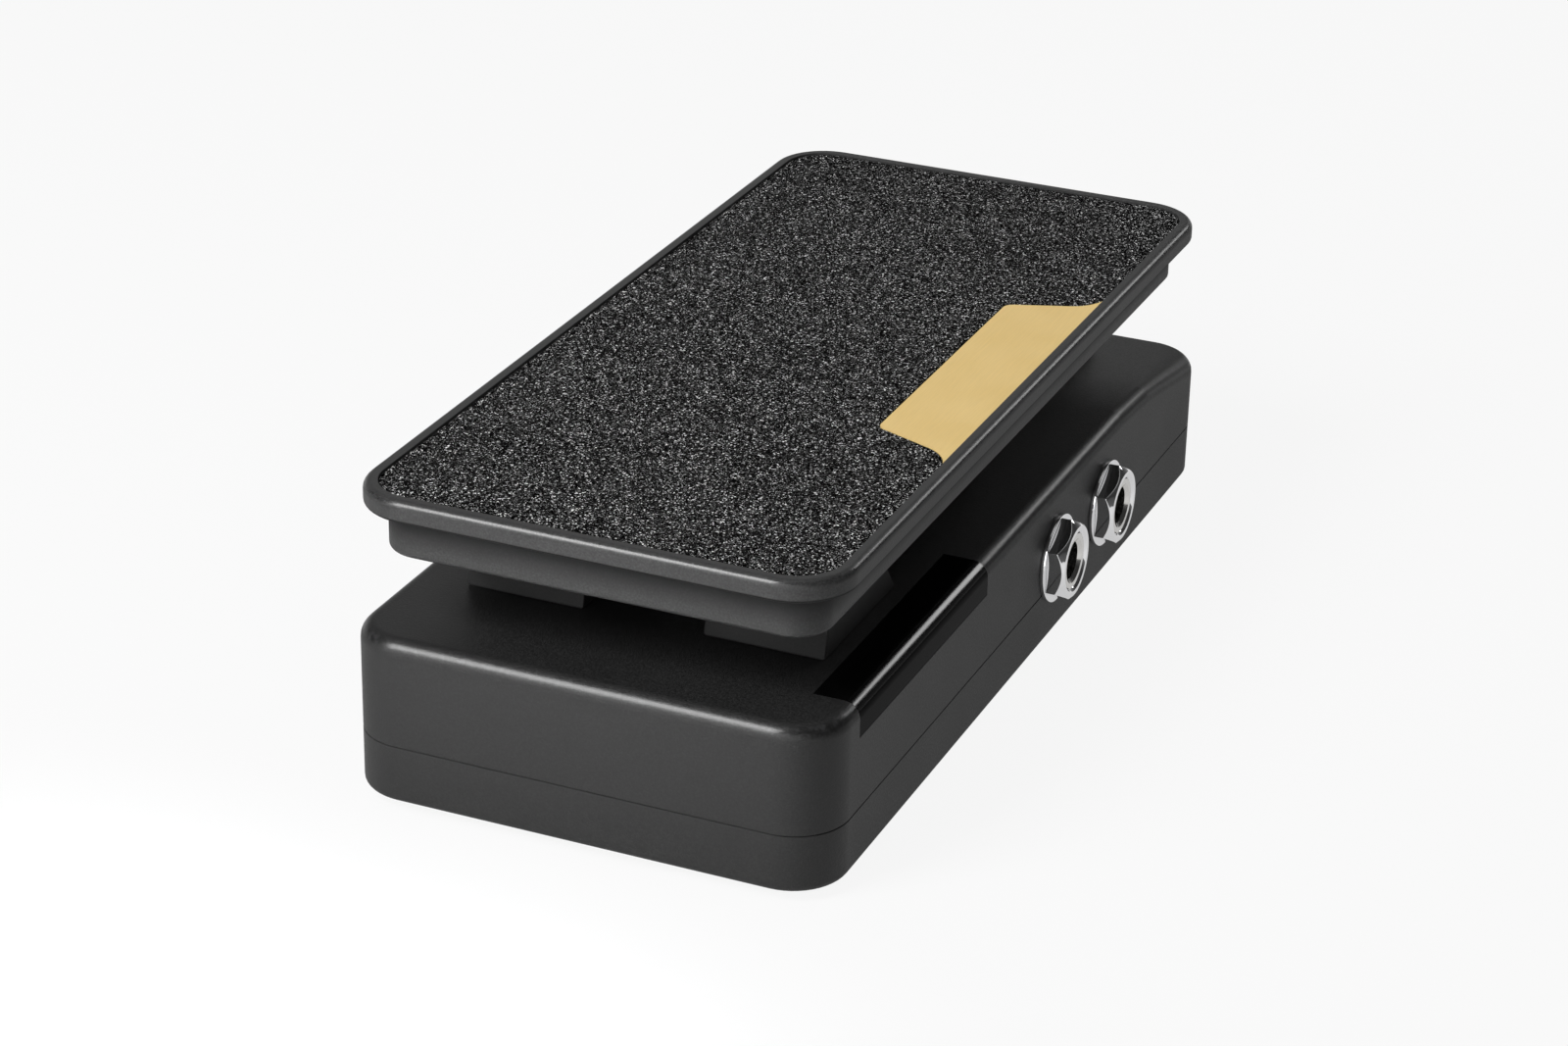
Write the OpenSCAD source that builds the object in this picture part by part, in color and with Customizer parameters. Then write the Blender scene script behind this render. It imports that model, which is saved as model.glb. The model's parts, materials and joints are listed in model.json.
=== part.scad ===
// Volume pedal: a treadle rocks on a low base and turns a potentiometer through a sector gear.
// Millimetres, +Z up, heel end towards -Y, toe end towards +Y, sockets in the faces at +X and -X.
// The origin lies on the floor under the middle of the base.

/* [Base] */
// Width of the base between its side faces
base_w = 80; // [77:0.5:90]
// Length of the base from the heel end to the toe end
base_l = 177; // [172:0.5:188]
// Height of the base from its bottom face to the flat of its top
base_h = 27.3; // [26:0.1:32]
// Radius of the base's upright corners
corner_r = 9; // [7:0.25:11]
// Thickness of the side walls of both shells
wall = 2.4; // [2:0.1:3]
// Thickness of the housing's top
top_t = 2.4; // [2:0.1:3]
// Rounding of the housing's top edge
edge_r = 2.6; // [1.6:0.1:3.2]
// Length of the slope at the toe end of the top
toe_run = 39.5; // [35:0.5:45]
// Fall of the top over that slope
toe_drop = 5.2; // [4:0.1:6]
// Half length over which the top bends into the slope
bend_soft = 7; // [3:0.5:10]
// Height of the bottom cover, up to the seam
cover_h = 9.6; // [8.5:0.1:10.5]
// Thickness of the bottom cover's floor
floor_t = 2; // [1.8:0.1:2.6]
// Rounding of the base's bottom edge
sole_r = 1.2; // [0.6:0.1:1.6]
// Rounding of both shells along the seam
seam_r = 0.2; // [0.1:0.05:0.4]
// Height of the rubber feet
foot_h = 1.6; // [1:0.1:4]
// Diameter of the rubber feet
foot_d = 13; // [10:0.5:16]
// Distance of the feet from the side faces
foot_in_x = 13; // [10:0.5:16]
// Distance of the feet from the end faces
foot_in_y = 22; // [18:0.5:26]

/* [Treadle] */
// Width of the treadle plate
tread_w = 79.4; // [74:0.2:82]
// Length of the treadle plate
tread_l = 172.2; // [166:0.2:176]
// Distance of the treadle's heel edge behind the base's heel face
tread_setback = 0.9; // [0:0.1:4]
// Thickness of the plate at its rim
plate_t = 3.55; // [2.6:0.05:4]
// Radius of the plate's corners
tread_r = 9.8; // [8:0.2:12]
// Rounding of the plate's upper edge
rim_top_r = 1.3; // [0.6:0.1:1.4]
// Rounding of the plate's lower edge
rim_low_r = 0.7; // [0.3:0.1:1]
// Width of the rim around the recess
rim_w = 2.3; // [1.8:0.1:3]
// Depth of the recess that holds the grip sheet
recess_d = 1.1; // [0.9:0.05:1.4]
// Height of the skirt under the plate
skirt_h = 7.4; // [6.6:0.1:9]
// Distance of the skirt inside the plate's edge
skirt_in = 3.7; // [3:0.1:5]
// Thickness of the skirt's wall
skirt_t = 2.4; // [1.8:0.1:3]
// Rounding of the skirt's lower edge
skirt_r = 0.9; // [0.4:0.1:1.2]
// Height of the skirt above the flat of the base with the treadle level
tread_gap = 12; // [11.5:0.1:14]
// Thickness of the two ribs under the plate
rib_t = 2.4; // [1.8:0.1:4]
// Thickness of the grip sheet
grip_t = 0.75; // [0.5:0.05:0.85]
// Gap around the pieces that lie in the recess
lay_play = 0.15; // [0.05:0.05:0.3]

/* [Badge plate] */
// Width of the badge plate from the rim inwards
badge_w = 14.4; // [11:0.2:18]
// Length of the badge plate along its inner edge
badge_l = 56.6; // [46:0.2:64]
// Angle at which its two ends widen towards the rim
badge_flare = 22; // [14:1:28]
// Radius of the curves where its ends meet the rim
badge_tip_r = 7; // [4:0.5:8]
// Radius of its two inner corners
badge_r = 2; // [0.8:0.2:3]
// Thickness of the badge plate
badge_t = 0.7; // [0.4:0.05:0.85]

/* [Pivot] */
// Height of the pivot above the flat of the base
pivot_h = 7.2; // [6.5:0.1:8]
// Angle of the treadle from level to heel down
heel_angle = 6; // [4:0.5:6.5]
// Angle of the treadle from level to toe down
toe_angle = 8; // [6:0.5:8.5]
// Diameter of the pivot axle
axle_d = 5; // [4:0.1:5.4]
// Radius of the treadle's lugs around the axle
lug_r = 4.6; // [4.2:0.1:5]
// Thickness of each lug
lug_t = 5; // [4:0.1:6]
// Distance between the inner faces of the bracket's ears
ear_span = 42.8; // [40:0.2:46]
// Thickness of the pivot bracket's sheet
bracket_t = 1.6; // [1.2:0.1:1.7]
// Radius of the bracket's ears around the axle
ear_r = 6; // [5.4:0.1:6.6]
// Length of the bracket along the base
bracket_l = 27; // [25:0.5:30]
// Radius of the bushings outside
bush_r = 3.5; // [3.2:0.1:4]
// Radius of the bushings' flanges
bush_flange_r = 4.9; // [4.4:0.1:5]
// Thickness of the bushings' flanges
bush_flange_t = 0.8; // [0.5:0.1:1.2]
// Gap between faces that slide on each other at the pivot
side_play = 0.2; // [0.1:0.05:0.4]
// Gap around a shaft that turns in a bushing
run_play = 0.05; // [0.02:0.01:0.08]
// Thickness of the axle's retaining clips
clip_t = 0.8; // [0.6:0.1:1.2]
// Outer radius of the axle's retaining clips
clip_r = 4.6; // [4:0.1:5.2]

/* [Stops] */
// Width of each heel stop
heel_stop_w = 20; // [14:0.5:22]
// Length of the heel stops on the base
heel_stop_l = 28.5; // [20:0.5:30]
// Distance of the heel stops' middles from the base's heel face
heel_stop_in = 36.5; // [32:0.5:40]
// Distance of the heel stops' middles from the centre line
heel_stop_x = 20; // [17:0.5:22]
// Slant of the heel stops' ends towards the heel face
heel_slant_out = 13; // [0:1:20]
// Slant of the heel stops' ends towards the pivot
heel_slant_in = 35; // [0:1:40]
// Width of each toe stop
toe_stop_w = 10; // [8:0.5:12]
// Length of the toe stops
toe_stop_l = 16; // [10:0.5:18]
// Distance of the toe stops' middles from the base's toe face
toe_stop_in = 20.5; // [17.5:0.5:22.5]
// Gap left at a stop when the treadle reaches it
stop_gap = 0.15; // [0.1:0.05:0.5]

/* [Gears] */
// Module of the gear teeth
gear_m = 0.7; // [0.65:0.01:0.74]
// Teeth of the sector gear on its full circle
sector_teeth = 56; // [54:1:58]
// Teeth of the pinion
pinion_teeth = 14; // [13:1:16]
// Teeth that the sector carries
sector_count = 7; // [7:2:9]
// Pressure angle of the teeth
pressure_angle = 25; // [20:1:27]
// Thinning of each tooth, for play
tooth_thin = 0.12; // [0.06:0.02:0.2]
// Direction from the pivot to the pinion, measured from straight down towards the heel
mesh_angle = 33; // [31:1:36]
// Thickness of the sector gear
sector_t = 4; // [3:0.1:5]
// Thickness of the pinion's toothed part
pinion_t = 5; // [4.2:0.1:5.4]
// Length of the pinion's hub
pinion_hub_l = 4.5; // [4:0.1:6]
// Radius of the pinion's hub
pinion_hub_r = 4.1; // [3.6:0.1:4.4]
// Width of the neck that carries the sector gear
neck_w = 9; // [7:0.2:10]
// Length of the sector gear's flange
flange_l = 26; // [25:0.5:30]
// Width of the sector gear's flange
flange_w = 12; // [8:0.5:14]
// Thickness of the sector gear's flange
flange_t = 2.4; // [1.8:0.1:3]
// Length of the treadle's bosses above that flange
gear_boss_h = 4; // [3.4:0.1:4.6]
// Clear space around the sector in its slot
slot_play = 1.5; // [1:0.1:2]

/* [Potentiometer] */
// Diameter of the potentiometer's body
pot_d = 16; // [14:0.5:16.5]
// Depth of the potentiometer's body
pot_depth = 8.5; // [7:0.1:9]
// Distance of the potentiometer's bracket from the gears' middle plane
pot_x = 8; // [7.6:0.1:9]
// Diameter of the potentiometer's shaft
pot_shaft_d = 4; // [3:0.1:4.6]
// Diameter of the potentiometer's threaded neck
pot_neck_d = 7; // [6.4:0.1:8]
// Length of that neck
pot_neck_l = 6; // [5:0.1:6.2]
// Width of the neck's nut across its flats
pot_nut_w = 10; // [9.4:0.1:11]
// Thickness of the neck's nut
pot_nut_t = 2.2; // [1.6:0.1:2.6]
// Thickness of the potentiometer's bracket
pot_plate_t = 1.5; // [1:0.1:1.8]
// Length of each of that bracket's two tabs
pot_tab_l = 6.5; // [6:0.1:7]
// Width of each tab
pot_tab_w = 6; // [5.4:0.1:6.4]

/* [Sockets] */
// Height of the sockets' middles above the base's bottom face
jack_z = 14.2; // [13.6:0.1:15]
// Place of the expression socket along the base
exp_jack_y = 9; // [8.2:0.1:12]
// Place of the input and output sockets along the base
line_jack_y = 33.2; // [30:0.1:38]
// Diameter of the sockets' plug holes
plug_d = 6.4; // [6.3:0.05:6.6]
// Depth of the plug holes
plug_depth = 29; // [26:0.5:30]
// Diameter of the sockets' threaded barrels
barrel_d = 9.4; // [9:0.1:10]
// Length of the sockets' bodies behind the wall
jack_len = 24; // [24:0.5:26]
// Width of the sockets' bodies along the base
jack_body_w = 15; // [12:0.5:16]
// Height of the sockets' bodies
jack_body_h = 13.6; // [11:0.2:13.8]
// Width of the sockets' nuts across their flats
jack_nut_w = 12.7; // [12:0.1:14]
// Thickness of the sockets' nuts
jack_nut_t = 3; // [2.2:0.1:3.6]
// Diameter of the sockets' washers
jack_washer_d = 15; // [14:0.1:17]
// Thickness of the sockets' washers
jack_washer_t = 0.8; // [0.5:0.1:1.2]
// Depth of the barrels' ends inside the nuts
barrel_sink = 0.4; // [0.2:0.1:0.8]
// Distance of the power inlet's middle to the left of the centre line
power_x = 14; // [10:0.5:18]
// Height of the power inlet's middle above the base's bottom face
power_z = 13.5; // [13:0.1:13.8]
// Diameter of the power inlet's hole
power_hole_d = 5.8; // [5.4:0.1:6.4]
// Diameter of the power inlet's pin
power_pin_d = 2; // [1.6:0.1:2.6]
// Diameter of the power inlet's collar
power_collar_d = 8.2; // [7.6:0.1:8.6]
// Width of the power inlet's body
power_body_w = 9; // [8.8:0.1:11]
// Height of the power inlet's body
power_body_h = 9; // [8.8:0.1:9.2]
// Length of the power inlet's body
power_body_l = 13; // [11:0.5:15]
// Depth of the power inlet's hole
power_depth = 9.5; // [8:0.5:11]

/* [Indicator] */
// Length of the window along the base
window_l = 52.5; // [46:0.5:54]
// Distance of the window's middle from the base's heel face
window_in = 38.5; // [37.5:0.5:42]
// Reach of the window over the base's top
window_top = 7.5; // [6:0.1:9]
// Reach of the window down the base's side
window_side = 5.6; // [4.5:0.1:7]
// Gap around the window in the housing
window_play = 0.08; // [0.04:0.02:0.2]
// Width of the window's inner lip
lip_w = 1.2; // [0.8:0.1:1.5]
// Thickness of the window's inner lip
lip_t = 1; // [0.6:0.1:1.4]
// Distance of the LED board under the housing's top
led_drop = 4.2; // [3.6:0.1:5]
// Width of the LED board
led_board_w = 15.5; // [15:0.1:17]
// Length of the LED board
led_board_l = 48; // [44:0.5:50]
// Thickness of the LED board
led_board_t = 1.2; // [0.8:0.1:1.6]
// Number of LEDs
led_count = 10; // [6:1:12]
// Length of each LED
led_l = 2; // [1.2:0.1:2.6]
// Width of each LED
led_w = 1.4; // [1:0.1:2]
// Height of each LED
led_h = 0.8; // [0.5:0.1:1.2]

/* [Boards and screws] */
// Width of the main board
board_w = 52; // [48:0.5:52.5]
// Length of the main board
board_l = 140; // [132:0.5:142]
// Thickness of the main board
board_t = 1.6; // [1:0.1:1.8]
// Height of the posts under the main board
standoff_h = 1.6; // [1.2:0.1:1.8]
// Diameter of those posts
standoff_d = 5; // [4.6:0.1:6]
// Distance of the main board's screws from its edges and from the posts at the toe end
board_screw_in = 4; // [3.4:0.1:4.6]
// Diameter of the shell and bracket screws
screw_d = 3; // [2.6:0.1:3.2]
// Diameter of the small screws
small_d = 2.2; // [1.8:0.1:2.4]
// Gap around a screw in its hole
screw_play = 0.05; // [0.02:0.01:0.1]
// Diameter of the posts that take the cover's screws
post_d = 6; // [5.2:0.1:6.6]
// Distance of those posts from the side faces
post_in_x = 10.5; // [10:0.1:11]
// Distance of those posts from the end faces
post_in_y = 8; // [7:0.1:8.2]
// Length of the cover's screws
cover_screw_l = 10; // [8:0.5:16]
// Distance of the bracket's screws from the centre line
bracket_screw_x = 17; // [16.8:0.1:17.4]
// Distance of the bracket's screws from the pivot
bracket_screw_y = 9.8; // [9.6:0.1:10.2]
// Length of the bosses under the housing's top
boss_h = 2.4; // [1.6:0.1:2.6]

/* [Hidden] */
$fn = 48;
hull_fn = 48;
arc_steps = 8;
flank_steps = 4;
// Overlap of a cutting solid past the face that it cuts
cut = 1;
// Room left past the tip of a screw in a blind hole
screw_tip = 0.4;
// Gap around a post in a board
post_play = 0.4;
// Gap around a barrel or collar in a wall
hole_play = 0.1;
// Section of the contact pins under sockets and the potentiometer
pin_w = 1;
pin_t = 0.6;
// Sizes of a screw's head and of its cross, as shares of the shank's and the head's diameter
head_wide = 1.8;
head_high = 0.6;
cross_long = 0.62;
cross_wide = 0.16;
// Depth of the cross in a flat head, as a share of the shank's diameter
cross_deep = 0.15;

// Levels
z0 = foot_h;
seam_z = z0 + cover_h;
deck_z = z0 + base_h;
deck_in = deck_z - top_t;
floor_z = z0 + floor_t;
pivot_z = deck_z + pivot_h;
skirt_z = deck_z + tread_gap;
under_z = skirt_z + skirt_h;
tread_z = under_z + plate_t;
recess_z = tread_z - recess_d;
tread_y = tread_setback + tread_l / 2 - base_l / 2;

// Places along the base that keep to its ends
window_y = window_in - base_l / 2;
heel_stop_y = base_l / 2 - heel_stop_in;
toe_stop_y = base_l / 2 - toe_stop_in;

// Slope of the base's top at the toe end
bend_y = base_l / 2 - toe_run;
toe_slope = toe_drop / toe_run;
slope_lift = edge_r * (sqrt(1 + toe_slope * toe_slope) - 1);
function slope(y) = deck_z - max(0, y - bend_y) * toe_slope;

// Pivot, from the ears inwards
axle_r = axle_d / 2;
ear_x = ear_span / 2;
lug_x1 = ear_x - bush_flange_t - side_play;
lug_x0 = lug_x1 - lug_t;
rib_x = (lug_x0 + lug_x1) / 2;
clip_x = ear_x + bracket_t + side_play;
axle_tail = 1;
axle_end = clip_x + clip_t + axle_tail;
groove_depth = 0.5;
groove_r = axle_r - groove_depth;
clip_mouth = 1.7 * groove_r;
lug_spread = 2;
lug_top_w = 2 * (lug_r + lug_spread);
ear_spread = 3;
ear_base_w = 2 * (ear_r + ear_spread);
bracket_w = ear_span + 2 * bracket_t;
bracket_top = deck_z + bracket_t;

// Gears
sector_r = gear_m * sector_teeth / 2;
pinion_r = gear_m * pinion_teeth / 2;
gear_c = sector_r + pinion_r;
addendum = 0.9 * gear_m;
dedendum = 1.25 * gear_m;
mesh_dir = 270 - mesh_angle;
slot_w = sector_t + 2 * slot_play;
slot_reach = sector_r + addendum + slot_play;
flange_z = under_z - gear_boss_h;
gear_boss_d = 6;
gear_screw_y = flange_l / 2 - gear_boss_d / 2;

// Potentiometer
pot_y = -gear_c * sin(mesh_angle);
pot_z = pivot_z - gear_c * cos(mesh_angle);
pot_r = pot_d / 2;
pot_body_x = pot_x + pot_plate_t;
pot_neck_x = pot_body_x - pot_neck_l;
shaft_hold = 5;
pot_bore_x = pot_body_x + shaft_hold;
pot_shaft_r = pot_shaft_d / 2;
shaft_x0 = -pinion_t / 2 - pinion_hub_l;
pot_tab_gap = 1;
pot_tab_y = pot_r + pot_tab_gap;
pot_plate_h = 2 * (pot_tab_y + pot_tab_w);
pot_tab_x = pot_body_x + pot_tab_l / 2;

// Boards
board_z = floor_z + standoff_h;
board_top = board_z + board_t;
board_gap = 2;
board_y1 = base_l / 2 - wall - board_gap;
board_y0 = board_y1 - board_l;
led_z1 = deck_in - led_drop;
led_z0 = led_z1 - led_board_t;
led_gap = 0.8;
led_x1 = base_w / 2 - wall - led_gap;
led_x0 = led_x1 - led_board_w;
led_inset = 2;
led_x = base_w / 2 - window_top + led_inset;
led_boss_d = 5;
led_boss_edge = 0.4;
led_boss_x = led_x0 + led_boss_d / 2 + led_boss_edge;
led_boss_y = led_board_l / 2 - led_boss_d / 2 - led_boss_edge;
header_pins = 4;
header_w = 2;
header_x = min(board_w / 2, led_x1) - header_w;
// Midway between the nearest screws of the two boards that it joins
header_y = (board_y0 + board_screw_in + standoff_d / 2 + window_y + led_boss_y - led_boss_d / 2) / 2;

// Chips on the main board: place across and along it, width and length
chips = [[-10, 16, 9, 9], [6, 14, 5, 6]];
chip_h = 1.5;
// Capacitors on the main board
can_count = 4;
can_pitch = 5;
can_in = 31;
can_d = 4;
can_h = 5.4;

// Sockets
side_x = base_w / 2;
nut_face = side_x + jack_washer_t + jack_nut_t;
mouth_x = nut_face - barrel_sink;
jack_nut_corner = jack_nut_w / 2 / cos(30);
// Radius of a nut's flat face, as a share of its half width
nut_face_share = 0.95;
jack_hole_r = barrel_d / 2 + hole_play;
mouth_bevel = 0.6;
jack_top_z = z0 + jack_z;

// Screws
flat_head_d = head_wide * screw_d;
boss_wall = 1.3;
post_x = base_w / 2 - post_in_x;
post_y = base_l / 2 - post_in_y;
board_screw_x = board_w / 2 - board_screw_in;
board_screw_y = post_y - post_d / 2 - board_screw_in;

// Places of things that come in fours or twos
post_places = [for (sx = [-1, 1], sy = [-1, 1]) [sx * post_x, sy * post_y]];
bracket_screw_places = [for (sx = [-1, 1], sy = [-1, 1]) [sx * bracket_screw_x, sy * bracket_screw_y]];
foot_places = [for (sx = [-1, 1], sy = [-1, 1])
    [sx * (base_w / 2 - foot_in_x), sy * (base_l / 2 - foot_in_y)]];
board_screw_places = [for (sx = [-1, 1], y = [board_y0 + board_screw_in, board_screw_y])
    [sx * board_screw_x, y]];
led_boss_places = [for (s = [-1, 1]) [led_boss_x, window_y + s * led_boss_y]];
pot_screw_places = [for (s = [-1, 1]) [pot_tab_x, pot_y + s * (pot_tab_y + pot_tab_w / 2)]];
// Side of each socket and its place along the base
exp_place = [1, exp_jack_y];
input_place = [1, line_jack_y];
output_place = [-1, line_jack_y];
jack_places = [exp_place, input_place, output_place];

// Colours
paint = "#434345";
chrome = "#d8d9dc";
steel = "#9b9da1";
rubber = "#1b1b1c";
circuit = "#1f5a3a";
nylon = "#d9d6cc";

// Points along an arc, or its corner where the radius is nought
function arc(c, r, a0, a1) =
    [for (i = [0:arc_steps]) let(a = a0 + (a1 - a0) * i / arc_steps) c + r * [cos(a), sin(a)]];

// Half section of a round slab, with its lower and upper edges rounded
function rim_points(r, t, top_r, low_r) = concat(
    [[0, 0]],
    arc([r - low_r, low_r], low_r, -90, 0),
    arc([r - top_r, t - top_r], top_r, 0, 90),
    [[0, t]]
);

// Flat outlines and solids that are used again and again
module rounded_rect(w, l, r) {
    square([w - 2 * r, l], center = true);
    for (s = [-1, 1]) {
        translate([s * (w / 2 - r / 2), 0]) square([r, l - 2 * r], center = true);
        for (t = [-1, 1]) translate([s * (w / 2 - r), t * (l / 2 - r)]) circle(r);
    }
}

module corner_disc(r, t, top_r, low_r) {
    rotate_extrude($fn = hull_fn) polygon(rim_points(r, t, top_r, low_r));
}

module rounded_slab(w, l, r, t, top_r, low_r) {
    hull() for (sx = [-1, 1], sy = [-1, 1])
        translate([sx * (w / 2 - r), sy * (l / 2 - r), 0]) corner_disc(r, t, top_r, low_r);
}

// Extrusion along X of an outline drawn in Y and Z
module along_x(x0, x1) {
    translate([x0, 0, 0]) rotate([90, 0, 90]) linear_extrude(x1 - x0) children();
}

// Round bar along X
module rod(r, x0, x1) {
    translate([x0, 0, 0]) rotate([0, 90, 0]) cylinder(r = r, h = x1 - x0);
}

module at_pivot() {
    translate([0, 0, pivot_z]) children();
}

module at_pot() {
    translate([0, pot_y, pot_z]) children();
}

// Screw with a round head that sits on z = 0 and a shank that points down
module pan_screw(d, l) {
    head_d = head_wide * d;
    head_h = head_high * d;
    difference() {
        union() {
            cylinder(d = head_d, h = head_h);
            translate([0, 0, -l]) cylinder(d = d, h = l + head_h / 2);
        }
        translate([0, 0, head_h]) screw_cross(head_d, head_h);
    }
}

module screw_cross(head_d, h) {
    for (a = [0, 90]) rotate(a) cube([cross_long * head_d, cross_wide * head_d, h], center = true);
}

// Countersunk screw whose flat head lies on z = 0 and whose shank points up
module flat_screw(d, l, head_d) {
    difference() {
        union() {
            cylinder(d1 = head_d, d2 = d, h = (head_d - d) / 2);
            cylinder(d = d, h = l);
        }
        screw_cross(head_d, 2 * cross_deep * d);
    }
}

// Base shells
module base_cavity() {
    intersection() {
        translate([0, 0, floor_z]) linear_extrude(base_h)
            rounded_rect(base_w - 2 * wall, base_l - 2 * wall, corner_r - wall);
        along_x(-base_w, base_w) polygon([
            [-base_l, floor_z - cut], [base_l, floor_z - cut],
            [base_l / 2, slope(base_l / 2) - top_t], [bend_y, deck_in], [-base_l, deck_in]
        ]);
    }
}

module housing_form() {
    far_top = slope(base_l / 2 - edge_r);
    hull() for (sx = [-1, 1]) {
        translate([sx * (base_w / 2 - corner_r), corner_r - base_l / 2, seam_z])
            corner_disc(corner_r, deck_z - seam_z, edge_r, seam_r);
        translate([sx * (base_w / 2 - corner_r), base_l / 2 - corner_r, seam_z])
            corner_disc(corner_r, far_top - seam_z, edge_r, seam_r);
        for (y = [bend_y - bend_soft, bend_y + bend_soft])
            translate([sx * (base_w / 2 - edge_r), y, slope(y) - edge_r]) sphere(edge_r, $fn = hull_fn);
    }
}

module housing_posts() {
    for (p = post_places) translate([p.x, p.y, floor_z])
        cylinder(d = post_d, h = slope(p.y) - floor_z - top_t / 2);
    for (p = bracket_screw_places) translate([p.x, p.y, deck_in - boss_h])
        cylinder(d = screw_d + 2 * boss_wall, h = boss_h + top_t / 2);
    for (p = led_boss_places) translate([p.x, p.y, led_z1])
        cylinder(d = led_boss_d, h = led_drop + top_t / 2);
}

module jack_holes() {
    for (p = jack_places) translate([p[0] * side_x, p.y, jack_top_z])
        rod(jack_hole_r, -wall - cut, wall + cut);
}

module power_hole() {
    translate([-power_x, base_l / 2, z0 + power_z]) rotate([90, 0, 0])
        cylinder(d = power_collar_d + 2 * hole_play, h = 2 * (wall + cut), center = true);
}

module window_section(play) {
    x0 = side_x - window_top - play;
    z_low = deck_z - window_side - play;
    difference() {
        union() {
            translate([x0, z_low]) square([window_top + play - edge_r, deck_z - z_low]);
            translate([x0, z_low]) square([window_top + play, deck_z - z_low - edge_r]);
            translate([side_x - edge_r, deck_z - edge_r]) circle(edge_r);
        }
        translate([x0 - cut, z_low - cut])
            square([window_top + play + cut - wall, deck_z - z_low + cut - top_t]);
    }
}

// Room for the potentiometer in the deck and the main board, where it comes that close to them
module pot_room() {
    at_pot() rod(pot_r + side_play, pot_body_x - side_play, pot_body_x + pot_depth + side_play);
}

module pot_bracket_room() {
    translate([pot_x - side_play, pot_y - pot_plate_h / 2 - side_play, pot_z - pot_r - side_play])
        cube([pot_plate_t + 2 * side_play, pot_plate_h + 2 * side_play, pot_r]);
}

module housing() {
    color(paint) difference() {
        union() {
            housing_form();
            housing_posts();
        }
        difference() {
            base_cavity();
            housing_posts();
        }
        for (p = post_places) translate([p.x, p.y, floor_z - cut])
            cylinder(d = screw_d + 2 * screw_play, h = cover_screw_l - floor_t + screw_tip + cut);
        for (p = bracket_screw_places) translate([p.x, p.y, deck_in - boss_h - cut])
            cylinder(d = screw_d + 2 * screw_play, h = boss_h + top_t + 2 * cut);
        for (p = led_boss_places) translate([p.x, p.y, led_z1 - cut])
            cylinder(d = small_d + 2 * screw_play, h = led_drop + cut);
        for (p = pot_screw_places) translate([p.x, p.y, deck_in - cut])
            cylinder(d = small_d + 2 * screw_play, h = top_t / 2 + screw_tip + cut);
        pot_room();
        translate([-slot_w / 2, -slot_reach, deck_in - cut])
            cube([slot_w, slot_reach + slot_play, top_t + 2 * cut]);
        translate([0, window_y + window_l / 2 + window_play, 0]) rotate([90, 0, 0])
            linear_extrude(window_l + 2 * window_play) {
                window_section(window_play);
                translate([side_x - window_top - window_play, deck_in])
                    square([window_top + cut, top_t + cut]);
                translate([side_x - wall, deck_z - window_side - window_play])
                    square([wall + cut, window_side + cut]);
            }
        jack_holes();
        power_hole();
    }
}

// Cone under the head of a countersunk screw, with play around it
module flat_seat() {
    depth = (flat_head_d - screw_d) / 2 + 2 * screw_play;
    cylinder(d1 = flat_head_d + 4 * screw_play, d2 = screw_d, h = depth);
}

module bottom_cover() {
    color(paint) difference() {
        union() {
            difference() {
                translate([0, 0, z0]) rounded_slab(base_w, base_l, corner_r, cover_h, seam_r, sole_r);
                translate([0, 0, floor_z]) linear_extrude(cover_h)
                    rounded_rect(base_w - 2 * wall, base_l - 2 * wall, corner_r - wall);
            }
            for (p = board_screw_places) translate([p.x, p.y, floor_z - floor_t / 2])
                cylinder(d = standoff_d, h = standoff_h + floor_t / 2);
        }
        for (p = post_places) translate([p.x, p.y, z0]) {
            translate([0, 0, -cut]) cylinder(d = screw_d + 2 * screw_play, h = floor_t + 2 * cut);
            translate([0, 0, -screw_play]) flat_seat();
        }
        for (p = board_screw_places) translate([p.x, p.y, floor_z - floor_t / 2])
            cylinder(d = small_d + 2 * screw_play, h = standoff_h + floor_t / 2 + cut);
        jack_holes();
        power_hole();
    }
}

module cover_screws() {
    color(steel) for (p = post_places) translate([p.x, p.y, z0])
        flat_screw(screw_d, cover_screw_l, flat_head_d);
}

module rubber_feet() {
    lip = foot_h / 4;
    color(rubber) for (p = foot_places) translate([p.x, p.y, 0]) {
        cylinder(d1 = foot_d - 2 * lip, d2 = foot_d, h = lip);
        translate([0, 0, lip]) cylinder(d = foot_d, h = foot_h - lip);
    }
}

// Indicator
module indicator_window() {
    color("#0a0a0b") translate([0, window_y + window_l / 2, 0]) {
        rotate([90, 0, 0]) linear_extrude(window_l) window_section(0);
        translate([side_x - window_top - lip_w, -window_l + lip_w, deck_in - lip_t])
            cube([lip_w + wall, window_l - 2 * lip_w, lip_t]);
    }
}

module led_board() {
    color(circuit) difference() {
        translate([led_x0, window_y - led_board_l / 2, led_z0]) cube([led_board_w, led_board_l, led_board_t]);
        board_notches(led_z0, led_board_t);
        for (p = led_boss_places) translate([p.x, p.y, led_z0 - cut])
            cylinder(d = small_d + 2 * screw_play, h = led_board_t + 2 * cut);
    }
}

module indicator_leds() {
    pitch = (led_board_l - 2 * led_l) / led_count;
    color("#e8e2c8") for (i = [0:led_count - 1])
        translate([led_x, window_y + (i - (led_count - 1) / 2) * pitch, led_z1 + led_h / 2])
            cube([led_w, led_l, led_h], center = true);
}

module led_screws() {
    color(steel) for (p = led_boss_places) translate([p.x, p.y, led_z0]) mirror([0, 0, 1])
        pan_screw(small_d, led_board_t + led_drop - screw_tip);
}

module board_header() {
    header_l = header_pins * header_w;
    color(rubber) translate([header_x - header_w / 2, header_y - header_l / 2, board_top])
        cube([header_w, header_l, led_z0 - board_top]);
}

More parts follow.
